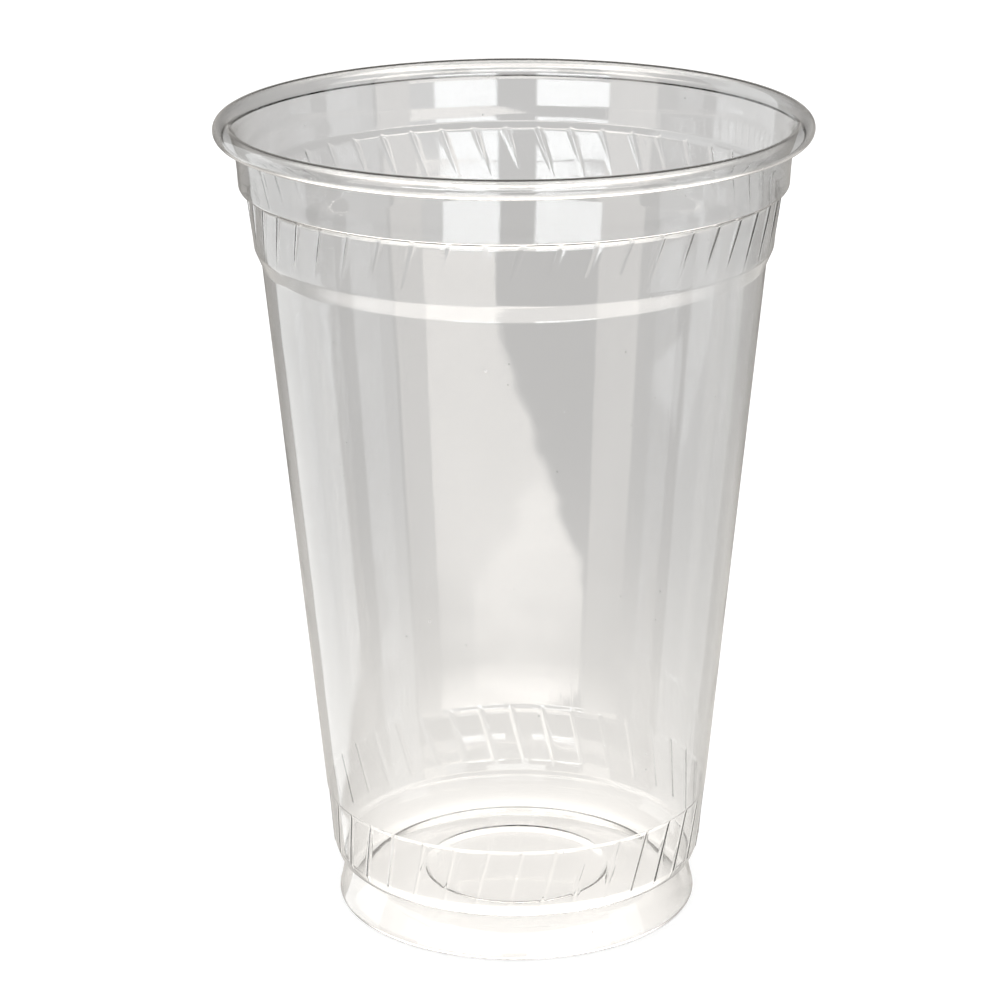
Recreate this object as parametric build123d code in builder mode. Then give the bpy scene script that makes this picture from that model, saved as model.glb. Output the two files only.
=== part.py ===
# Clear cold-drink cup, thermoformed in one piece from a single sheet of PET.
# Millimetres. +Z up, origin at the centre of the ring the cup stands on.

import os
from math import cos, radians, sin

from build123d import *

# ---- overall sizes ----
cup_height = 137.0
rim_diameter = 98.0
sheet = 0.30  # thickness of the formed sheet

# ---- rolled rim ----
curl_radius = 1.6  # outside of the roll's section
curl_sweep = 235.0  # how far the sheet is rolled round past the flare, in degrees
flare_radius = 3.5  # soft turn outwards under the roll, on the inner skin
flare_turn = 40.0  # how far the wall has turned outwards where the roll begins
flare_neck = 0.4  # straight wall just under the flare

# ---- lid band, under the rim, down to the stacking ledge ----
band_height = 8.0  # rim top to the crease in the band
band_draw = 0.45  # how much the band narrows down to the crease
band_bend = 4.0  # soft bend at each end of the upper band
skirt_height = 2.8  # steeper part of the band, from the crease to the ledge
skirt_draw = 0.15
ledge_inset = 1.5
ledge_drop = 1.0
ledge_fillet = 0.6

# ---- fluted band and its lower shoulder ----
flute_height = 9.2
flute_draw = 0.75  # how much the fluted band narrows downwards
shoulder_inset = 1.25
shoulder_drop = 2.8
shoulder_fillet = 1.4

flute_count = 48
flute_slant = 18.0  # lean of each rib from upright, in degrees
flute_phase = 1.7  # angle of the first rib, in degrees
flute_rise = 0.35  # how far a rib stands out under the ledge
flute_fade = 7.7  # height over which a rib runs out to nothing
flute_half_width = 0.8
flute_flank = 40.0  # slope of a rib's sides, in degrees

# ---- straight tapered wall ----
heel_radius = 31.6  # wall at the heel, if it ran straight down
heel_height = 8.4
heel_tuck = 0.6  # how far the heel turns in
heel_turn = 1.9  # height over which it turns in
heel_fillet = 0.45

# ---- grip serrations above the heel ----
serration_top = 20.7
serration_step = 0.15  # how far the serrated band lies inside the wall
serration_step_drop = 0.6
serration_fillet = 1.0
serration_count = 36
serration_slant = 14.0
serration_phase = 6.3
serration_rise = 0.3  # how far a rib stands out near the heel
serration_end = 0.5  # how far inside the heel a rib's crest ends
serration_gap = 0.1  # bare height between the heel and the ribs
serration_half_width = 0.6
serration_flank = 50.0

# ---- how each rib is joined to the wall ----
rib_sink = 0.05  # depth of the crest under the wall where a serration ends
rib_run_on = 3.0  # length carried on inside the wall, past each end
rib_root = 7.0  # depth of the block behind the wall

# ---- neck, foot and base ----
neck_inset = 1.0  # heel to neck
neck_drop = 0.5  # undercut from the heel to the neck
neck_fillet = 0.4
foot_spread = 1.05  # neck to the outside of the foot
foot_bend = 4.0  # height at which the foot begins to spread
foot_flare = 16.0  # radius of the hollow curve down the foot
foot_fillet = 0.7
rest_width = 2.2  # width of the rest ring, with its rounded corners
riser_height = 3.3
riser_run = 3.3
riser_fillet = 1.3
panel_radius = 16.0  # raised ring round the middle of the base
panel_rise = 0.5
panel_recess = 0.8
panel_slope = 0.8

# ---- heights and radii that follow from them ----
rim_radius = rim_diameter / 2
curl_height = cup_height - curl_radius
curl_centre = rim_radius - curl_radius
flare_cosine = cos(radians(flare_turn))
flare_height = curl_height - (flare_radius - curl_radius) * sin(radians(flare_turn))
flare_centre = curl_centre + (flare_radius - curl_radius) * flare_cosine
rim_wall_radius = flare_centre - flare_radius + sheet

crease = cup_height - band_height
crease_radius = rim_wall_radius - band_draw
ledge_top = crease - skirt_height
ledge_top_radius = crease_radius - skirt_draw
flute_top = ledge_top - ledge_drop
flute_top_radius = ledge_top_radius - ledge_inset
flute_bottom = flute_top - flute_height
flute_bottom_radius = flute_top_radius - flute_draw
flute_crest_radius = flute_top_radius + flute_rise

shoulder_bottom = flute_bottom - shoulder_drop
wall_top_radius = flute_bottom_radius - shoulder_inset
heel_corner_radius = heel_radius - heel_tuck
neck_radius = heel_corner_radius - neck_inset
foot_radius = neck_radius + foot_spread
rest_radius = foot_radius - rest_width
riser_radius = rest_radius - riser_run


def wall_radius(height):
    """Outside radius of the straight wall at a height."""
    taper = (wall_top_radius - heel_radius) / (shoulder_bottom - heel_height)
    return heel_radius + taper * (height - heel_height)


def flute_wall(height):
    """Outside radius between the ribs of the fluted band, at a height."""
    return flute_top_radius - flute_draw * (flute_top - height) / flute_height


# ---- the outside of the cup, from a height on the rim wall down to the axis ----
def side_points(top):
    """The corners of the outside, and the fillet of each corner between the ends."""
    step_bottom = serration_top - serration_step_drop
    heel_turn_height = heel_height + heel_turn
    panel_outside = riser_height + panel_rise
    points = [
        (rim_wall_radius, top),
        (rim_wall_radius, flare_height - flare_neck),
        (crease_radius, crease),
        (ledge_top_radius, ledge_top),
        (flute_top_radius, flute_top),
        (flute_bottom_radius, flute_bottom),
        (wall_top_radius, shoulder_bottom),
        (wall_radius(serration_top), serration_top),
        (wall_radius(step_bottom) - serration_step, step_bottom),
        (wall_radius(heel_turn_height) - serration_step, heel_turn_height),
        (heel_corner_radius, heel_height),
        (neck_radius, heel_height - neck_drop),
        (neck_radius, foot_bend),
        (foot_radius, 0),
        (rest_radius, 0),
        (riser_radius, riser_height),
        (panel_radius, panel_outside),
        (panel_radius - panel_slope, panel_outside - panel_recess),
        (0, panel_outside - panel_recess),
    ]
    fillets = [
        band_bend,
        band_bend,
        ledge_fillet,
        ledge_fillet,
        shoulder_fillet,
        shoulder_fillet,
        serration_fillet,
        serration_fillet,
        heel_turn,
        heel_fillet,
        neck_fillet,
        foot_flare,
        foot_fillet,
        foot_fillet,
        riser_fillet,
        panel_slope / 2,
        panel_slope / 2,
    ]
    return points, fillets


def half_section(top, inset):
    """Half of the section through the axis, drawn in by an inset."""
    points, fillets = side_points(top)
    with BuildSketch(Plane.XZ) as section:
        with BuildLine():
            side = FilletPolyline(*points, radius=fillets)
            Polyline(side @ 1, (0, top), side @ 0)
        make_face()
        if inset:
            mirror(about=Plane.YZ)
            offset(amount=-inset)
            split(bisect_by=Plane.YZ, keep=Keep.TOP)
    return section.sketch


# ---- one slanted rib: a roof-shaped ridge whose crest runs out into the wall ----
def rib(crest, height, slant, half_width, flank, inset):
    """A ridge on the +X side, its side view leaning about the radius."""
    lean = radians(slant)
    side = Plane((0, 0, height), x_dir=(1, 0, 0), z_dir=(0, -cos(lean), sin(lean)))
    with BuildPart() as ridge:
        with BuildSketch(side):
            with BuildLine():
                Polyline(*[(radius, z - height) for radius, z in crest], close=True)
            make_face()
            if inset:
                offset(amount=-inset / cos(radians(flank)), kind=Kind.INTERSECTION)
        extrude(amount=half_width, taper=flank)
        mirror(about=side)
    return ridge.part


def flute_rib(inset):
    """A rib of the fluted band, highest under the ledge and fading to its point."""
    above = ledge_top + rib_run_on
    point = flute_top - flute_fade
    below = point - rib_run_on
    slope = (flute_crest_radius - flute_wall(point)) / flute_fade
    crest = [
        (flute_crest_radius + slope * (above - flute_top), above),
        (flute_crest_radius - slope * (flute_top - below), below),
        (flute_bottom_radius - rib_root, below),
        (flute_bottom_radius - rib_root, above),
    ]
    return rib(crest, flute_top, flute_slant, flute_half_width, flute_flank, inset)


def serration_rib(inset):
    """A rib of the serrations, deepest just above the heel."""
    lowest = heel_height + serration_gap
    fullest = heel_height + heel_turn
    fullest_radius = wall_radius(fullest) - serration_step + serration_rise
    above = serration_top + rib_run_on
    slope = (wall_radius(serration_top) - rib_sink - fullest_radius) / (serration_top - fullest)
    crest = [
        (fullest_radius + slope * (above - fullest), above),
        (fullest_radius, fullest),
        (heel_corner_radius - serration_end, lowest),
        (heel_radius - rib_root, lowest),
        (heel_radius - rib_root, above),
    ]
    return rib(
        crest, heel_height, serration_slant, serration_half_width, serration_flank, inset
    )


# ---- the section turned about the axis, with both rows of ribs ----
def ribbed_solid(top, inset):
    """The cup as a full block, or the hollow that the sheet leaves inside it."""
    section = half_section(top, inset)
    flute = flute_rib(inset)
    serration = serration_rib(inset)
    with BuildPart() as solid:
        add(section)
        revolve(axis=Axis.Z)
        with PolarLocations(0, flute_count, start_angle=flute_phase):
            add(flute)
        with PolarLocations(0, serration_count, start_angle=serration_phase):
            add(serration)
    return solid.part


# ---- the rim: the sheet flares outwards, then rolls over, down and back in ----
with BuildPart() as curl:
    with BuildSketch(Plane.XZ):
        with BuildLine():
            roll = (curl_centre, curl_height)
            flare = (flare_centre, flare_height)
            flare_end = 180 - flare_turn
            roll_end = flare_end - curl_sweep
            roll_face = CenterArc(roll, curl_radius, roll_end, curl_sweep)
            roll_back = CenterArc(roll, curl_radius - sheet, roll_end, curl_sweep)
            flare_face = CenterArc(flare, flare_radius, flare_end, flare_turn)
            flare_back = CenterArc(flare, flare_radius - sheet, flare_end, flare_turn)
            Line(roll_face @ 0, roll_back @ 0)
            Line(flare_face @ 1, flare_back @ 1)
        make_face()
    revolve(axis=Axis.Z)

# ---- the whole cup ----
block = ribbed_solid(flare_height, 0)
hollow = ribbed_solid(cup_height + curl_radius, sheet)

with BuildPart() as cup:
    add(block)
    add(hollow, mode=Mode.SUBTRACT)
    add(curl.part)

cup.part.label = "cup"
os.makedirs("parts", exist_ok=True)
export_step(cup.part, "parts/cup.step")
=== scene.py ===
# Clear cold-drink cup: one thin shell of clear plastic on a pale studio table.
# Metres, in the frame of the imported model: +Z up, the cup stands on z = 0.
import math

import bpy
from mathutils import Matrix, Vector


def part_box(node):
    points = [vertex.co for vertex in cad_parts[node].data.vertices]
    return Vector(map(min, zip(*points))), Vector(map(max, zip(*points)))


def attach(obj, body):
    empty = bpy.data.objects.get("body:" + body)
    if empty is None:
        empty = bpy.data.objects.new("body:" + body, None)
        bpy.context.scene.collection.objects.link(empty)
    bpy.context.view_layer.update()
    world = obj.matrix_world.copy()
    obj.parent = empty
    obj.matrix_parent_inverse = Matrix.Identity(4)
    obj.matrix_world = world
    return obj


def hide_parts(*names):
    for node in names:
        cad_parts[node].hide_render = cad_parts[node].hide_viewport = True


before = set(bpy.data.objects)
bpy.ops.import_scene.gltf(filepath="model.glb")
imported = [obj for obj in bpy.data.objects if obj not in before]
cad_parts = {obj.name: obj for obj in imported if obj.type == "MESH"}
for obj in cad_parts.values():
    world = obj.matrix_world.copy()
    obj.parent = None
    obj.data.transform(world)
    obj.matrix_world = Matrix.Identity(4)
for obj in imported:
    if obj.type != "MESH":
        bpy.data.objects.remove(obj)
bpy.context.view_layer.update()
cupLow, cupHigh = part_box("cup")
mm = 0.001
print("frame loaded")


# small node helpers
def makeNode(tree, kind, **settings):
    node = tree.nodes.new(kind)
    for name, value in settings.items():
        setattr(node, name, value)
    return node


def plug(tree, value, socket):
    # a socket is linked, anything else is set as the plain value
    if isinstance(value, bpy.types.NodeSocket):
        tree.links.new(value, socket)
    else:
        socket.default_value = value


def calc(tree, operation, *values):
    node = makeNode(tree, "ShaderNodeMath", operation=operation)
    for value, socket in zip(values, node.inputs):
        plug(tree, value, socket)
    return node.outputs[0]


def ramp(tree, value, fromLow, fromHigh, toLow=0.0, toHigh=1.0, kind="SMOOTHSTEP"):
    node = makeNode(tree, "ShaderNodeMapRange", interpolation_type=kind)
    for name, given in (("Value", value), ("From Min", fromLow), ("From Max", fromHigh),
                        ("To Min", toLow), ("To Max", toHigh)):
        plug(tree, given, node.inputs[name])
    return node.outputs[0]


# the cup's section in millimetres, on the outside of the sheet; its height and rim come
# from the frame
cupSection = dict(
    sheet=0.30,
    curlRadius=1.6, curlSweep=235.0, flareRadius=3.5, flareTurn=40.0, flareNeck=0.4,
    bandHeight=8.0, bandDraw=0.45, bandBend=4.0, skirtHeight=2.8, skirtDraw=0.15,
    ledgeInset=1.5, ledgeDrop=1.0, ledgeFillet=0.6,
    fluteHeight=9.2, fluteDraw=0.82,
    shoulderInset=1.18, shoulderDrop=2.8, shoulderFillet=1.4,
    heelRadius=31.6, heelHeight=8.4, heelTuck=0.6, heelTurn=1.9, heelFillet=0.45,
    serrationTop=20.7, serrationStep=0.15, serrationStepDrop=0.6, serrationFillet=1.0,
    neckInset=1.0, neckDrop=0.5, neckFillet=0.4,
    footSpread=1.05, footBend=4.0, footFlare=16.0, footFillet=0.7, restWidth=2.2,
    riserHeight=3.3, riserRun=3.3, riserFillet=1.3,
    panelRadius=16.0, panelRise=0.5, panelRecess=0.8, panelSlope=0.8,
)

# how finely the section and the turn are divided: steps and rows in millimetres, arcs in
# degrees; shorter steps are dropped, smaller bends (radians) stay sharp, nearer points weld
cupMesh = dict(
    columns=576, rimColumns=192, baseColumns=144, arcStep=15.0, flareStep=8.0, capSteps=3,
    baseStep=3.2, footStep=0.9, serrationRow=1.15, wallRow=9.0, fluteRow=0.95, rimRow=1.5,
    shortest=0.02, straight=1e-4, weld=0.002,
)

# the two rows of slanted ribs: lengths in millimetres, slants and flanks in degrees; soft
# rounds a rib's crest, and valley is the share of that left where the rib meets the wall
cupRibs = dict(
    fluteCount=48, fluteSlant=18.0, flutePhase=1.7, fluteRise=0.32, fluteFade=7.7,
    fluteFlank=36.0, flutePinch=0.5, fluteSoft=0.26,
    serrationCount=36, serrationSlant=14.0, serrationPhase=6.3, serrationRise=0.12,
    serrationSink=0.05, serrationEnd=0.5, serrationGap=0.1, serrationFlank=30.0,
    serrationPinch=0.4, serrationSoft=0.3, valley=0.45,
)


def cupLevels():
    # heights and radii that follow from the sizes, in millimetres
    size = cupSection
    level = {}
    level["height"] = (cupHigh.z - cupLow.z) / mm
    level["rim"] = min(cupHigh.x, cupHigh.y, -cupLow.x, -cupLow.y) / mm
    level["curlHeight"] = level["height"] - size["curlRadius"]
    level["curlCentre"] = level["rim"] - size["curlRadius"]
    reach, turn = size["flareRadius"] - size["curlRadius"], math.radians(size["flareTurn"])
    level["flareHeight"] = level["curlHeight"] - reach * math.sin(turn)
    level["flareCentre"] = level["curlCentre"] + reach * math.cos(turn)
    level["rimWall"] = level["flareCentre"] - size["flareRadius"] + size["sheet"]
    level["crease"] = level["height"] - size["bandHeight"]
    level["creaseRadius"] = level["rimWall"] - size["bandDraw"]
    level["ledgeTop"] = level["crease"] - size["skirtHeight"]
    level["ledgeTopRadius"] = level["creaseRadius"] - size["skirtDraw"]
    level["fluteTop"] = level["ledgeTop"] - size["ledgeDrop"]
    level["fluteTopRadius"] = level["ledgeTopRadius"] - size["ledgeInset"]
    level["fluteBottom"] = level["fluteTop"] - size["fluteHeight"]
    level["fluteBottomRadius"] = level["fluteTopRadius"] - size["fluteDraw"]
    level["shoulderBottom"] = level["fluteBottom"] - size["shoulderDrop"]
    level["wallTopRadius"] = level["fluteBottomRadius"] - size["shoulderInset"]
    level["heelCorner"] = size["heelRadius"] - size["heelTuck"]
    level["neck"] = level["heelCorner"] - size["neckInset"]
    level["foot"] = level["neck"] + size["footSpread"]
    level["rest"] = level["foot"] - size["restWidth"]
    level["riser"] = level["rest"] - size["riserRun"]
    level["fullest"] = size["heelHeight"] + size["heelTurn"]
    return level


cupLevel = cupLevels()


def wallRadius(height):
    low, high = cupSection["heelHeight"], cupLevel["shoulderBottom"]
    share = (height - low) / (high - low)
    return cupSection["heelRadius"] * (1 - share) + cupLevel["wallTopRadius"] * share


def fluteWall(height):
    fall = cupSection["fluteDraw"] / cupSection["fluteHeight"]
    return cupLevel["fluteTopRadius"] - fall * (cupLevel["fluteTop"] - height)


def outsideCorners():
    # radius, height, fillet of the corner, longest step on the way up to it
    size, level, step = cupSection, cupLevel, cupMesh
    stepBottom = size["serrationTop"] - size["serrationStepDrop"]
    panelTop = size["riserHeight"] + size["panelRise"]
    panelLow = panelTop - size["panelRecess"]
    panelTurn = size["panelSlope"] / 2
    return [
        (0, panelLow, 0, 0),
        (size["panelRadius"] - size["panelSlope"], panelLow, panelTurn, step["baseStep"]),
        (size["panelRadius"], panelTop, panelTurn, step["footStep"]),
        (level["riser"], size["riserHeight"], size["riserFillet"], step["baseStep"]),
        (level["rest"], 0, size["footFillet"], step["footStep"]),
        (level["foot"], 0, size["footFillet"], step["footStep"]),
        (level["neck"], size["footBend"], size["footFlare"], step["footStep"]),
        (level["neck"], size["heelHeight"] - size["neckDrop"], size["neckFillet"], step["footStep"]),
        (level["heelCorner"], size["heelHeight"], size["heelFillet"], step["footStep"]),
        (wallRadius(level["fullest"]) - size["serrationStep"], level["fullest"],
         size["heelTurn"], step["serrationRow"]),
        (wallRadius(stepBottom) - size["serrationStep"], stepBottom,
         size["serrationFillet"], step["serrationRow"]),
        (wallRadius(size["serrationTop"]), size["serrationTop"],
         size["serrationFillet"], step["serrationRow"]),
        (level["wallTopRadius"], level["shoulderBottom"], size["shoulderFillet"], step["wallRow"]),
        (level["fluteBottomRadius"], level["fluteBottom"], size["shoulderFillet"], step["fluteRow"]),
        (level["fluteTopRadius"], level["fluteTop"], size["ledgeFillet"], step["fluteRow"]),
        (level["ledgeTopRadius"], level["ledgeTop"], size["ledgeFillet"], step["fluteRow"]),
        (level["creaseRadius"], level["crease"], size["bandBend"], step["rimRow"]),
        (level["rimWall"], level["flareHeight"] - size["flareNeck"], size["bandBend"], step["rimRow"]),
        (level["rimWall"], level["flareHeight"], 0, step["rimRow"]),
    ]


def turnAt(before, corner, after, fillet):
    # the points of a fillet arc, and its two ends where it leaves the straight runs
    into, away = (corner - before).normalized(), (after - corner).normalized()
    angle = into.angle(away)
    if fillet == 0 or angle < cupMesh["straight"]:
        return [corner]
    reach = fillet * math.tan(angle / 2)
    start, side = corner - into * reach, Vector((-into.y, into.x))
    if side.dot(away) < 0:
        side.negate()
    centre = start + side * fillet
    steps = max(2, math.ceil(math.degrees(angle) / cupMesh["arcStep"]))
    points = []
    for i in range(steps + 1):
        part = angle * i / steps
        points.append(centre - side * (fillet * math.cos(part)) + into * (fillet * math.sin(part)))
    return points


def outsideLine():
    # the outside skin, from the middle of the base to the open end of the roll
    size, mesh, corners = cupSection, cupMesh, outsideCorners()
    places = [Vector(c[:2]) for c in corners]
    line = [places[0]]
    for i in range(1, len(corners)):
        last = i == len(corners) - 1
        arc = [places[i]] if last else turnAt(places[i - 1], places[i], places[i + 1], corners[i][2])
        run = arc[0] - line[-1]
        count = max(1, math.ceil(run.length / corners[i][3]))
        start = line[-1]
        line += [start + run * (j / count) for j in range(1, count)]
        line += [p for p in arc if (p - line[-1]).length > mesh["shortest"]]
    # the flare, then the roll, both turning the same way
    start = 180.0
    for name, sweep, step in (("flare", size["flareTurn"], mesh["flareStep"]),
                              ("curl", size["curlSweep"], mesh["arcStep"])):
        centre = Vector((cupLevel[name + "Centre"], cupLevel[name + "Height"]))
        radius, steps = size[name + "Radius"] - size["sheet"], math.ceil(sweep / step)
        for i in range(1, steps + 1):
            angle = math.radians(start - sweep * i / steps)
            line.append(centre + Vector((math.cos(angle), math.sin(angle))) * radius)
        start -= sweep
    return line


def sheetLoop():
    # both skins and the rounded end of the roll: radius, height, which skin (0 out, 1 in)
    line = outsideLine()
    aside = []
    for i, point in enumerate(line):
        into = point - line[i - 1] if i else line[1] - point
        away = line[i + 1] - point if i < len(line) - 1 else into
        along = (into.normalized() + away.normalized()).normalized()
        aside.append(Vector((-along.y, along.x)))
    sheet = cupSection["sheet"]
    inside = [p + n * sheet for p, n in zip(line, aside)]
    end, across = (line[-1] + inside[-1]) / 2, aside[-1]
    along = Vector((across.y, -across.x))
    cap = []
    for i in range(1, cupMesh["capSteps"] + 1):
        angle = math.pi * i / (cupMesh["capSteps"] + 1)
        cap.append(end + (along * math.sin(angle) - across * math.cos(angle)) * sheet / 2)
    rows = [(p.x, p.y, 0.0) for p in line] + [(p.x, p.y, 0.5) for p in cap]
    rows += [(p.x, p.y, 1.0) for p in reversed(inside)]
    return rows


def sectionMesh():
    # one vertex a row, with what the turning needs to know about each row
    size, level, mesh = cupSection, cupLevel, cupMesh
    rows = sheetLoop()
    data = bpy.data.meshes.new("cupSection")
    data.from_pydata([(r * mm, 0, z * mm) for r, z, skin in rows],
                     [(i, i + 1) for i in range(len(rows) - 1)], [])
    flute, group, skins = [], [], []
    for r, z, skin in rows:
        share = (z - size["serrationTop"]) / (level["shoulderBottom"] - size["serrationTop"])
        flute.append(min(1.0, max(0.0, share)))
        if z < size["heelHeight"] - size["neckDrop"]:
            group.append(mesh["columns"] / mesh["baseColumns"])
        elif z > level["ledgeTop"] + size["ledgeFillet"]:
            group.append(mesh["columns"] / mesh["rimColumns"])
        else:
            group.append(1.0)
        skins.append(skin)
    for name, values in (("flute", flute), ("group", group), ("skin", skins)):
        data.attributes.new(name, "FLOAT", "POINT").data.foreach_set("value", values)
    print("section rows", len(rows))
    return data


# the section is turned and ribbed in geometry nodes
def cupTree(material):
    size, level, ribs = cupSection, cupLevel, cupRibs
    crest = level["fluteTopRadius"] + ribs["fluteRise"]
    pointRadius = fluteWall(level["fluteTop"] - ribs["fluteFade"])
    fullestRadius = wallRadius(level["fullest"]) - size["serrationStep"] + ribs["serrationRise"]
    topRadius = wallRadius(size["serrationTop"]) - ribs["serrationSink"]
    lowRadius = level["heelCorner"] - ribs["serrationEnd"]
    lowHeight = size["heelHeight"] + ribs["serrationGap"]
    fluteFlank, fluteSlant = math.radians(ribs["fluteFlank"]), math.radians(ribs["fluteSlant"])
    serrationFlank = math.radians(ribs["serrationFlank"])
    serrationSlant = math.radians(ribs["serrationSlant"])
    inputs = {
        "Columns": cupMesh["columns"],
        "Flutes": ribs["fluteCount"],
        "Serrations": ribs["serrationCount"],
        "Flute Phase": math.radians(ribs["flutePhase"]),
        "Serration Phase": math.radians(ribs["serrationPhase"]),
        "Flute Twist": math.tan(fluteSlant) / (level["fluteTopRadius"] * mm),
        "Serration Twist": math.tan(serrationSlant) / (size["heelRadius"] * mm),
        "Flute Low": level["shoulderBottom"] * mm,
        "Flute Middle": level["fluteTop"] * mm,
        "Flute High": level["ledgeTop"] * mm,
        "Serration Low": size["heelHeight"] * mm,
        "Serration High": size["serrationTop"] * mm,
        "Crest Radius": crest * mm,
        "Crest Slope": (crest - pointRadius) / ribs["fluteFade"],
        "Crest Foot": level["fluteBottom"] * mm,
        "Flute Flank": math.tan(fluteFlank),
        "Flute Lean": math.cos(fluteSlant),
        "Flute Tighter": size["sheet"] * mm * math.tan(fluteFlank / 2),
        "Flute Pinch": ribs["flutePinch"],
        "Flute Soft": ribs["fluteSoft"] * mm,
        "Fullest": level["fullest"] * mm,
        "Fullest Radius": fullestRadius * mm,
        "Serration Slope": (topRadius - fullestRadius) / (size["serrationTop"] - level["fullest"]),
        "Serration Run": (fullestRadius - lowRadius) / (level["fullest"] - lowHeight),
        "Serration Flank": math.tan(serrationFlank),
        "Serration Lean": math.cos(serrationSlant),
        "Serration Tighter": size["sheet"] * mm * math.tan(serrationFlank / 2),
        "Sheet": size["sheet"] * mm,
        "Serration Pinch": ribs["serrationPinch"],
        "Serration Soft": ribs["serrationSoft"] * mm,
        "Valley": ribs["valley"],
        "Weld": cupMesh["weld"] * mm,
    }
    tree = bpy.data.node_groups.new("turnCup", "GeometryNodeTree")
    tree.interface.new_socket("Section", in_out="INPUT", socket_type="NodeSocketGeometry")
    for name, value in inputs.items():
        kind = "NodeSocketInt" if isinstance(value, int) else "NodeSocketFloat"
        tree.interface.new_socket(name, in_out="INPUT", socket_type=kind).default_value = value
    tree.interface.new_socket("Cup", in_out="OUTPUT", socket_type="NodeSocketGeometry")
    given = makeNode(tree, "NodeGroupInput").outputs
    section = given["Section"]

    # a flat grid: one line of vertices a column, one vertex a row of the section
    counted = makeNode(tree, "GeometryNodeAttributeDomainSize", component="MESH")
    plug(tree, section, counted.inputs[0])
    rows = counted.outputs["Point Count"]
    grid = makeNode(tree, "GeometryNodeMeshGrid")
    plug(tree, calc(tree, "ADD", given["Columns"], 1), grid.inputs["Vertices X"])
    plug(tree, rows, grid.inputs["Vertices Y"])
    index = makeNode(tree, "GeometryNodeInputIndex").outputs[0]
    column = calc(tree, "FLOOR", calc(tree, "DIVIDE", calc(tree, "ADD", index, 0.5), rows))
    row = calc(tree, "SUBTRACT", index, calc(tree, "MULTIPLY", column, rows))

    def fromRow(name):
        held = makeNode(tree, "GeometryNodeInputNamedAttribute", data_type="FLOAT")
        held.inputs["Name"].default_value = name
        sample = makeNode(tree, "GeometryNodeSampleIndex", data_type="FLOAT")
        plug(tree, section, sample.inputs["Geometry"])
        plug(tree, held.outputs["Attribute"], sample.inputs["Value"])
        plug(tree, row, sample.inputs["Index"])
        return sample.outputs[0]

    place = makeNode(tree, "GeometryNodeSampleIndex", data_type="FLOAT_VECTOR")
    plug(tree, section, place.inputs["Geometry"])
    plug(tree, makeNode(tree, "GeometryNodeInputPosition").outputs[0], place.inputs["Value"])
    plug(tree, row, place.inputs["Index"])
    apart = makeNode(tree, "ShaderNodeSeparateXYZ")
    plug(tree, place.outputs[0], apart.inputs[0])
    radius, height = apart.outputs[0], apart.outputs[2]
    flute, group, skin = fromRow("flute"), fromRow("group"), fromRow("skin")

    # rim and base need fewer columns, so theirs fall together in groups and are welded;
    # only the ribbed rows keep every column
    oneColumn = calc(tree, "LESS_THAN", group, 1.5)
    kept = calc(tree, "MULTIPLY", calc(tree, "FLOOR", calc(tree, "DIVIDE", column, group)), group)

    def spread(count, pinch):
        # columns crowd round each rib: turn in ribs, and how far off the rib's middle, in ribs
        place = calc(tree, "DIVIDE", calc(tree, "MULTIPLY", kept, count), given["Columns"])
        middle = calc(tree, "ROUND", place)
        off = calc(tree, "SUBTRACT", place, middle)
        pinched = calc(tree, "MULTIPLY", oneColumn, calc(tree, "SUBTRACT", pinch, 1))
        tight = calc(tree, "ADD", pinched, 1)
        # off runs to half a rib either way, so this runs from 0 to 1
        curve = calc(tree, "MULTIPLY", calc(tree, "MULTIPLY", off, off), 4)
        loose = calc(tree, "MULTIPLY", calc(tree, "SUBTRACT", 1, tight), curve)
        off = calc(tree, "MULTIPLY", off, calc(tree, "ADD", tight, loose))
        ribs = calc(tree, "ADD", middle, off)
        return (calc(tree, "DIVIDE", calc(tree, "MULTIPLY", ribs, math.tau), count),
                calc(tree, "DIVIDE", calc(tree, "MULTIPLY", off, math.tau), count))

    def twist(amount, low, high, fixed):
        held = calc(tree, "MINIMUM", calc(tree, "MAXIMUM", height, low), high)
        return calc(tree, "MULTIPLY", calc(tree, "SUBTRACT", held, fixed), amount)

    fluteTurn, fluteOff = spread(given["Flutes"], given["Flute Pinch"])
    serrationTurn, serrationOff = spread(given["Serrations"], given["Serration Pinch"])
    fluteLean = twist(given["Flute Twist"], given["Flute Low"], given["Flute High"],
                      given["Flute Middle"])
    serrationLean = twist(given["Serration Twist"], given["Serration Low"],
                          given["Serration High"], given["Serration Low"])
    fluteAngle = calc(tree, "ADD", calc(tree, "ADD", fluteTurn, given["Flute Phase"]), fluteLean)
    serrationAngle = calc(tree, "ADD", calc(tree, "ADD", serrationTurn, given["Serration Phase"]),
                          serrationLean)
    share = calc(tree, "MULTIPLY", flute, calc(tree, "SUBTRACT", fluteAngle, serrationAngle))
    angle = calc(tree, "ADD", serrationAngle, share)

    def roof(crestRadius, off, flank, lean, tighter, soft, active):
        # a rib is a round-topped roof over the wall, the higher of the two; the inner skin
        # turns tighter over the top, so that the sheet keeps its thickness
        aside = calc(tree, "MULTIPLY", calc(tree, "ABSOLUTE", off), radius)
        aside = calc(tree, "MULTIPLY", aside, lean)
        bend = calc(tree, "SUBTRACT", soft, calc(tree, "MULTIPLY", skin, tighter))
        edge = calc(tree, "SQRT", calc(tree, "ADD", calc(tree, "MULTIPLY", aside, aside),
                                       calc(tree, "MULTIPLY", bend, bend)))
        fall = calc(tree, "MULTIPLY", calc(tree, "SUBTRACT", edge, bend), flank)
        top = calc(tree, "SUBTRACT", calc(tree, "SUBTRACT", crestRadius, fall),
                   calc(tree, "MULTIPLY", skin, given["Sheet"]))
        valley = calc(tree, "MULTIPLY", soft, given["Valley"])
        raised = calc(tree, "SMOOTH_MAX", top, radius, valley)
        return calc(tree, "MULTIPLY", calc(tree, "SUBTRACT", raised, radius), active)

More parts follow.
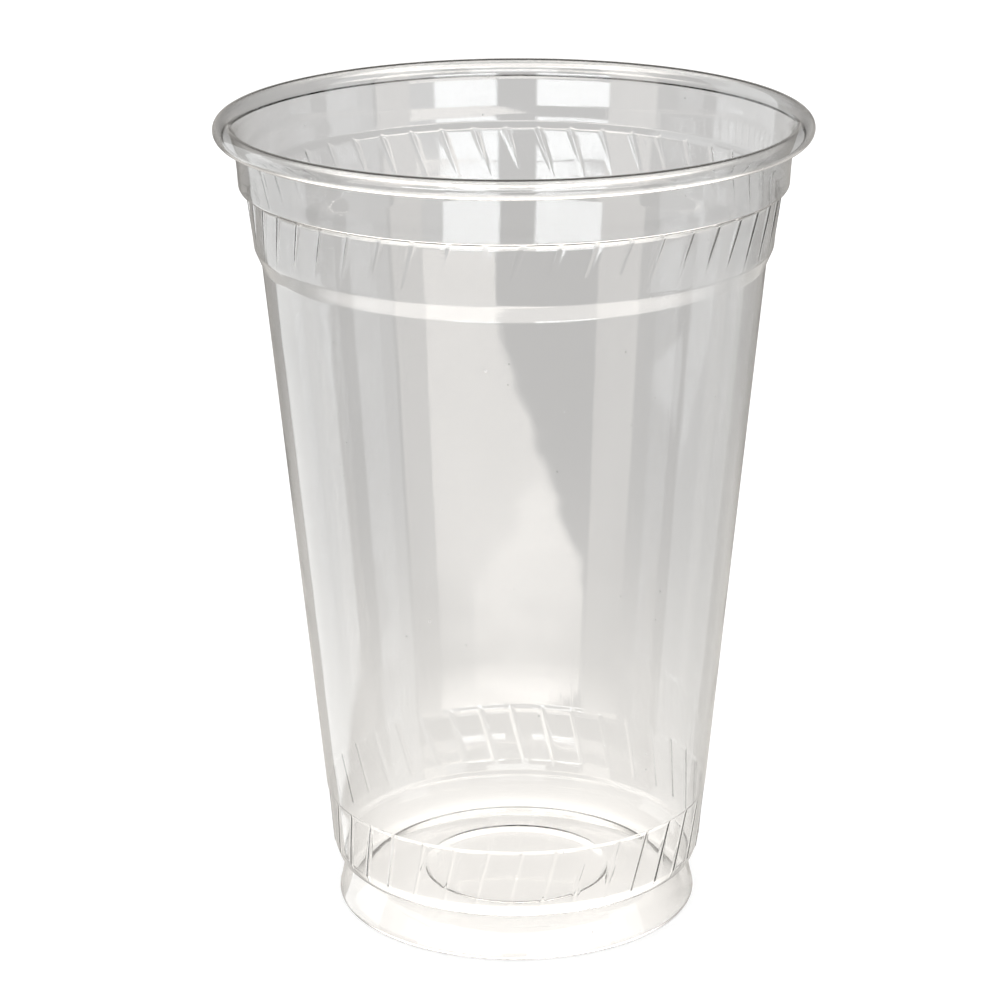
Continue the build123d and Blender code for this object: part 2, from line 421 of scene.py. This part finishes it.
    over = calc(tree, "SUBTRACT", height, given["Flute Middle"])
    fluteCrest = calc(tree, "ADD", given["Crest Radius"],
                      calc(tree, "MULTIPLY", given["Crest Slope"], over))
    above = calc(tree, "GREATER_THAN", height, given["Crest Foot"])
    below = calc(tree, "LESS_THAN", height, given["Flute High"])
    fluteRise = roof(fluteCrest, fluteOff, given["Flute Flank"], given["Flute Lean"],
                     given["Flute Tighter"], given["Flute Soft"],
                     calc(tree, "MULTIPLY", above, below))

    over = calc(tree, "SUBTRACT", height, given["Fullest"])
    serrationCrest = calc(tree, "ADD", given["Fullest Radius"], calc(
        tree, "MINIMUM", calc(tree, "MULTIPLY", over, given["Serration Slope"]),
        calc(tree, "MULTIPLY", over, given["Serration Run"])))
    above = calc(tree, "GREATER_THAN", height, given["Serration Low"])
    below = calc(tree, "LESS_THAN", height, given["Serration High"])
    serrationRise = roof(serrationCrest, serrationOff, given["Serration Flank"],
                         given["Serration Lean"], given["Serration Tighter"],
                         given["Serration Soft"], calc(tree, "MULTIPLY", above, below))
    radius = calc(tree, "ADD", radius, calc(tree, "ADD", fluteRise, serrationRise))

    turned = makeNode(tree, "ShaderNodeCombineXYZ")
    plug(tree, calc(tree, "MULTIPLY", radius, calc(tree, "COSINE", angle)), turned.inputs[0])
    plug(tree, calc(tree, "MULTIPLY", radius, calc(tree, "SINE", angle)), turned.inputs[1])
    plug(tree, height, turned.inputs[2])
    laid = makeNode(tree, "GeometryNodeSetPosition")
    plug(tree, grid.outputs["Mesh"], laid.inputs["Geometry"])
    plug(tree, turned.outputs[0], laid.inputs["Position"])
    weld = makeNode(tree, "GeometryNodeMergeByDistance")
    plug(tree, laid.outputs[0], weld.inputs["Geometry"])
    plug(tree, given["Weld"], weld.inputs["Distance"])
    smooth = makeNode(tree, "GeometryNodeSetShadeSmooth")
    plug(tree, weld.outputs[0], smooth.inputs[0])
    real = makeNode(tree, "GeometryNodeRealizeInstances")
    plug(tree, smooth.outputs[0], real.inputs[0])
    finish = makeNode(tree, "GeometryNodeSetMaterial")
    finish.inputs["Material"].default_value = material
    plug(tree, real.outputs[0], finish.inputs["Geometry"])
    plug(tree, finish.outputs[0], makeNode(tree, "NodeGroupOutput").inputs[0])
    return tree


def makeCup(material):
    holder = bpy.data.objects.new("cupSection", sectionMesh())
    bpy.context.scene.collection.objects.link(holder)
    turning = holder.modifiers.new("turnCup", "NODES")
    turning.node_group = cupTree(material)
    for item in turning.node_group.interface.items_tree:
        if item.in_out == "INPUT" and item.socket_type != "NodeSocketGeometry":
            turning[item.identifier] = item.default_value
    bpy.context.view_layer.update()
    depsgraph = bpy.context.evaluated_depsgraph_get()
    data = bpy.data.meshes.new_from_object(holder.evaluated_get(depsgraph))
    data.name = "cupShell"
    holder.modifiers.remove(turning)
    bpy.data.objects.remove(holder)
    shell = bpy.data.objects.new("cupShell", data)
    bpy.context.scene.collection.objects.link(shell)
    print("cup shell", len(data.vertices), "vertices", len(data.polygons), "faces")
    return shell


# clear sheet plastic: a trace of grey, a faint haze, drawing waves and a little dust
clearPlastic = dict(
    tint=(0.965, 0.963, 0.960, 1.0), ior=1.575,
    waveScale=42.0, waveDetail=2.0, waveDepth=0.05 * mm,
    streakScale=260.0, streakLength=0.07, streakDetail=3.0,
    streakRange=(0.35, 0.75), roughness=(0.012, 0.045),
    dustScale=230.0, dustSize=(0.03, 0.05), dustShare=0.72, dustCover=0.45,
    dustColor=(0.86, 0.85, 0.83, 1.0),
)


def makeClearPlastic():
    look = clearPlastic
    material = bpy.data.materials.new("clearPet")
    material.use_nodes = True
    tree = material.node_tree
    tree.nodes.clear()
    place = makeNode(tree, "ShaderNodeTexCoord").outputs["Object"]
    shader = makeNode(tree, "ShaderNodeBsdfPrincipled")
    shader.inputs["Base Color"].default_value = look["tint"]
    shader.inputs["IOR"].default_value = look["ior"]
    shader.inputs["Transmission Weight"].default_value = 1.0

    # slow waves from the forming, seen where the sheet mirrors
    waves = makeNode(tree, "ShaderNodeTexNoise")
    plug(tree, place, waves.inputs["Vector"])
    waves.inputs["Scale"].default_value = look["waveScale"]
    waves.inputs["Detail"].default_value = look["waveDetail"]
    bump = makeNode(tree, "ShaderNodeBump")
    bump.inputs["Distance"].default_value = look["waveDepth"]
    plug(tree, waves.outputs[0], bump.inputs["Height"])
    plug(tree, bump.outputs[0], shader.inputs["Normal"])

    # streaks of haze, drawn out down the wall
    drawn = makeNode(tree, "ShaderNodeMapping")
    plug(tree, place, drawn.inputs["Vector"])
    drawn.inputs["Scale"].default_value = (1.0, 1.0, look["streakLength"])
    streaks = makeNode(tree, "ShaderNodeTexNoise")
    plug(tree, drawn.outputs[0], streaks.inputs["Vector"])
    streaks.inputs["Scale"].default_value = look["streakScale"]
    streaks.inputs["Detail"].default_value = look["streakDetail"]
    haze = ramp(tree, streaks.outputs[0], *look["streakRange"], *look["roughness"])
    plug(tree, haze, shader.inputs["Roughness"])

    # a few specks of dust
    cells = makeNode(tree, "ShaderNodeTexVoronoi")
    plug(tree, place, cells.inputs["Vector"])
    cells.inputs["Scale"].default_value = look["dustScale"]
    chance = makeNode(tree, "ShaderNodeSeparateColor")
    plug(tree, cells.outputs["Color"], chance.inputs[0])
    kept = calc(tree, "GREATER_THAN", chance.outputs[0], look["dustShare"])
    near = ramp(tree, cells.outputs["Distance"], *look["dustSize"], 1.0, 0.0)
    speck = calc(tree, "MULTIPLY", kept, near)
    dust = makeNode(tree, "ShaderNodeBsdfDiffuse")
    dust.inputs["Color"].default_value = look["dustColor"]
    whole = makeNode(tree, "ShaderNodeMixShader")
    plug(tree, calc(tree, "MULTIPLY", speck, look["dustCover"]), whole.inputs[0])
    plug(tree, shader.outputs[0], whole.inputs[1])
    plug(tree, dust.outputs[0], whole.inputs[2])
    plug(tree, whole.outputs[0], makeNode(tree, "ShaderNodeOutputMaterial").inputs[0])
    return material


# studio: a white sweep; seen through the plastic it is painted grey (painted shade) away from
# a painted pool of light round the cup; lengths in metres
studio = dict(
    sweep=(1.0, 1.0, 1.0, 1.0), floorGlow=0.62, floorColor=(0.5, 0.5, 0.5, 1.0), floorSize=3.0,
    paintedShadeFar=(0.640, 0.635, 0.630, 1.0), paintedPoolNear=(1.06, 1.035, 0.995, 1.0), paintedPoolRadius=0.137,
    paintedPoolUnder=(1.3, 1.265, 1.215, 1.0), paintedPoolUnderRadius=(0.026, 0.054),
    overheadSize=1.2, overheadHeight=1.3, overheadPower=3.0,
)

# what the plastic mirrors: light by turn (degrees to the right of straight in front) and rise
mirrorBase = dict(
    strength=0.06, low=(-22.0, -18.0), lowStrength=0.32,
    behind=0.36, behindTurn=(105.0, 165.0), behindRise=(0.0, 20.0),
    top=4.5, topLow=(38.0, 45.0), topHigh=(64.0, 74.0), topTurn=(80.0, 110.0),
    deep=2.4, deepRise=(-52.0, -34.0), lowFade=(-12.2, -7.6),
)

# cards of light: an edge is level, or slopes from the card's first turn to its last
cardEdge = dict(turnSoft=1.0, riseSoft=0.3)
cardFoot, cardHead, windowFoot = (-25.0, -25.0), (60.0, 60.0), (-3.0, -3.0)
windowHead = (9.0, 9.0)
lowColor, highColor = (1.0, 0.965, 0.915, 1.0), (0.955, 0.985, 1.0, 1.0)
lowCards = [
    dict(turn=(-39.0, 9.0), lower=cardFoot, upper=(-9.4, -4.6), strength=3.2),
    dict(turn=(-14.7, 24.0), lower=cardFoot, upper=(-7.2, -9.1), strength=1.05),
    dict(turn=(-41.0, -14.7), lower=cardFoot, upper=(-9.5, -7.2), strength=1.1),
    dict(turn=(9.0, 45.0), lower=cardFoot, upper=windowFoot, strength=3.2),
    dict(turn=(45.0, 61.0), lower=cardFoot, upper=cardHead, strength=1.4),
    dict(turn=(-64.0, -41.5), lower=cardFoot, upper=cardHead, strength=1.5),
]
highCards = [
    dict(turn=(7.0, 34.0), lower=windowFoot, upper=windowHead, strength=5.2),
    dict(turn=(34.0, 45.0), lower=windowFoot, upper=(40.0, 40.0), strength=1.0),
    dict(turn=(-41.5, -10.0), lower=windowFoot, upper=windowHead, strength=5.2),
    dict(turn=(-88.0, -64.0), lower=cardFoot, upper=cardHead, strength=0.1),
    dict(turn=(-142.0, -96.0), lower=(-28.0, -28.0), upper=cardHead, strength=0.8),
    dict(turn=(63.0, 86.0), lower=cardFoot, upper=cardHead, strength=0.7),
    dict(turn=(-19.0, 19.0), lower=(13.0, 13.0), upper=(32.0, 32.0), strength=2.2),
]


def lightPath(tree, name):
    # 1 once the ray has passed through or off a surface, else 0
    return calc(tree, "GREATER_THAN", makeNode(tree, "ShaderNodeLightPath").outputs[name], 0.5)


def cardLight(tree, turn, rise, cards):
    soft, thin = cardEdge["turnSoft"], cardEdge["riseSoft"]
    light = 0.0
    for card in cards:
        first, last = card["turn"]
        inside = calc(tree, "MULTIPLY", ramp(tree, turn, first - soft, first + soft),
                      ramp(tree, turn, last - soft, last + soft, 1.0, 0.0))
        for edge, toLow, toHigh in (("lower", 0.0, 1.0), ("upper", 1.0, 0.0)):
            at = ramp(tree, turn, first, last, *card[edge], "LINEAR")
            away = calc(tree, "SUBTRACT", rise, at)
            inside = calc(tree, "MULTIPLY", inside, ramp(tree, away, -thin, thin, toLow, toHigh))
        light = calc(tree, "ADD", light, calc(tree, "MULTIPLY", inside, card["strength"]))
    return light


def baseLight(tree, turn, rise):
    # dim all round, with light from behind, from overhead and from straight below
    base = mirrorBase
    aside = calc(tree, "ABSOLUTE", turn)
    low = ramp(tree, rise, *base["low"], base["lowStrength"], base["strength"])
    behind = calc(tree, "MULTIPLY", ramp(tree, aside, *base["behindTurn"], 0.0, base["behind"]),
                  ramp(tree, rise, *base["behindRise"], 1.0, 0.0))
    top = calc(tree, "MULTIPLY", ramp(tree, rise, *base["topLow"], 0.0, base["top"]),
               ramp(tree, rise, *base["topHigh"], 1.0, 0.0))
    top = calc(tree, "MULTIPLY", top, ramp(tree, aside, *base["topTurn"], 1.0, 0.0))
    deep = ramp(tree, rise, *base["deepRise"], base["deep"], 0.0)
    return calc(tree, "ADD", calc(tree, "ADD", low, behind), calc(tree, "ADD", top, deep))


def makeWorld():
    world = bpy.data.worlds.new("studio")
    bpy.context.scene.world = world
    world.use_nodes = True
    tree = world.node_tree
    tree.nodes.clear()
    apart = makeNode(tree, "ShaderNodeSeparateXYZ")
    plug(tree, makeNode(tree, "ShaderNodeTexCoord").outputs["Generated"], apart.inputs[0])
    x, y, z = apart.outputs
    degree = math.degrees(1)
    turn = calc(tree, "ARCTAN2", x, calc(tree, "MULTIPLY", y, -1))
    turn = calc(tree, "MULTIPLY", turn, degree)
    rise = calc(tree, "MULTIPLY", calc(tree, "ARCSINE", z), degree)
    lowLight = calc(tree, "MULTIPLY", ramp(tree, rise, *mirrorBase["lowFade"]),
                    cardLight(tree, turn, rise, lowCards))
    warm = calc(tree, "ADD", baseLight(tree, turn, rise), lowLight)
    cool = cardLight(tree, turn, rise, highCards)
    seen = makeNode(tree, "ShaderNodeBackground")
    seen.inputs["Color"].default_value = studio["sweep"]
    # seen through the plastic the backdrop is painted grey: painted shade
    through = makeNode(tree, "ShaderNodeBackground")
    through.inputs["Color"].default_value = studio["paintedShadeFar"]
    mirrored = makeNode(tree, "ShaderNodeAddShader")
    for i, (strength, color) in enumerate(((warm, lowColor), (cool, highColor))):
        part = makeNode(tree, "ShaderNodeBackground")
        part.inputs["Color"].default_value = color
        plug(tree, strength, part.inputs["Strength"])
        plug(tree, part.outputs[0], mirrored.inputs[i])
    straight = makeNode(tree, "ShaderNodeMixShader")
    plug(tree, lightPath(tree, "Transmission Depth"), straight.inputs[0])
    plug(tree, seen.outputs[0], straight.inputs[1])
    plug(tree, through.outputs[0], straight.inputs[2])
    light = makeNode(tree, "ShaderNodeMixShader")
    plug(tree, lightPath(tree, "Glossy Depth"), light.inputs[0])
    plug(tree, straight.outputs[0], light.inputs[1])
    plug(tree, mirrored.outputs[0], light.inputs[2])
    plug(tree, light.outputs[0], makeNode(tree, "ShaderNodeOutputWorld").inputs[0])
    print("world of", len(lowCards) + len(highCards), "cards")


def paleTable():
    material = bpy.data.materials.new("paleTable")
    material.use_nodes = True
    tree = material.node_tree
    tree.nodes.clear()
    lit = makeNode(tree, "ShaderNodeBsdfDiffuse")
    lit.inputs["Color"].default_value = studio["floorColor"]
    glow = makeNode(tree, "ShaderNodeEmission")
    glow.inputs["Strength"].default_value = studio["floorGlow"]
    seen = makeNode(tree, "ShaderNodeAddShader")
    plug(tree, lit.outputs[0], seen.inputs[0])
    plug(tree, glow.outputs[0], seen.inputs[1])
    # a painted pool of light round the cup, brightest under the base and fading to painted grey shade
    # away from it; it glows only where the floor is seen through the plastic
    place = makeNode(tree, "ShaderNodeTexCoord").outputs["Object"]
    length = makeNode(tree, "ShaderNodeVectorMath", operation="LENGTH")
    plug(tree, place, length.inputs[0])
    share = calc(tree, "DIVIDE", length.outputs["Value"], studio["paintedPoolRadius"])
    pool = calc(tree, "EXPONENT", calc(tree, "MULTIPLY", calc(tree, "MULTIPLY", share, share), -1))
    color = makeNode(tree, "ShaderNodeMix", data_type="RGBA")
    plug(tree, pool, color.inputs["Factor"])
    color.inputs["A"].default_value = studio["paintedShadeFar"]
    color.inputs["B"].default_value = studio["paintedPoolNear"]
    under = makeNode(tree, "ShaderNodeMix", data_type="RGBA")
    below = ramp(tree, length.outputs["Value"], *studio["paintedPoolUnderRadius"], 1.0, 0.0)
    plug(tree, below, under.inputs["Factor"])
    plug(tree, color.outputs["Result"], under.inputs["A"])
    under.inputs["B"].default_value = studio["paintedPoolUnder"]
    through = makeNode(tree, "ShaderNodeEmission")
    plug(tree, under.outputs["Result"], through.inputs["Color"])
    straight = makeNode(tree, "ShaderNodeMixShader")
    plug(tree, lightPath(tree, "Transmission Depth"), straight.inputs[0])
    plug(tree, seen.outputs[0], straight.inputs[1])
    plug(tree, through.outputs[0], straight.inputs[2])
    whole = makeNode(tree, "ShaderNodeMixShader")
    plug(tree, lightPath(tree, "Glossy Depth"), whole.inputs[0])
    plug(tree, straight.outputs[0], whole.inputs[1])
    plug(tree, makeNode(tree, "ShaderNodeBsdfTransparent").outputs[0], whole.inputs[2])
    plug(tree, whole.outputs[0], makeNode(tree, "ShaderNodeOutputMaterial").inputs[0])
    return material


def makeFloor():
    size = studio["floorSize"]
    data = bpy.data.meshes.new("floor")
    corners = [(-size, -size, 0), (size, -size, 0), (size, size, 0), (-size, size, 0)]
    data.from_pydata(corners, [], [range(len(corners))])
    data.materials.append(paleTable())
    floor = bpy.data.objects.new("floor", data)
    bpy.context.scene.collection.objects.link(floor)


def makeLights():
    lamp = bpy.data.lights.new("overhead", "AREA")
    lamp.shape = "DISK"
    lamp.size = studio["overheadSize"]
    lamp.energy = studio["overheadPower"]
    light = bpy.data.objects.new("overhead", lamp)
    light.location = (0, 0, studio["overheadHeight"])
    light.visible_camera = False
    light.visible_glossy = False
    light.visible_transmission = False
    bpy.context.scene.collection.objects.link(light)
    print("table and lamp ready")


# camera: metres from the cup's axis and above the table, degrees, and millimetres of lens
cupView = dict(
    distance=0.540, height=0.25055, pitch=18.406, yaw=-0.270, roll=0.303,
    lens=121.36, sensor=36.0, clip=(0.01, 20.0),
)


def makeCamera():
    data = bpy.data.cameras.new("camera")
    data.lens = cupView["lens"]
    data.sensor_width = cupView["sensor"]
    data.clip_start, data.clip_end = cupView["clip"]
    camera = bpy.data.objects.new("camera", data)
    turned = Matrix.Rotation(math.radians(-cupView["yaw"]), 4, "Z")
    turned = turned @ Matrix.Rotation(math.radians(90 - cupView["pitch"]), 4, "X")
    turned = turned @ Matrix.Rotation(math.radians(-cupView["roll"]), 4, "Z")
    place = Matrix.Translation((0, -cupView["distance"], cupView["height"]))
    camera.matrix_world = place @ turned
    bpy.context.scene.collection.objects.link(camera)
    bpy.context.scene.camera = camera
    print("camera ready")


makeCamera()
makeWorld()
makeFloor()
makeLights()
cup = makeCup(makeClearPlastic())
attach(cup, "root")
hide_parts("cup")

# a ray crosses both skins of both walls, and more at the roll
bounces = dict(max=24, transmission=24, glossy=12, diffuse=3)
scene = bpy.context.scene
scene.view_settings.view_transform = "Standard"
for name, count in bounces.items():
    setattr(scene.cycles, name + "_bounces", count)
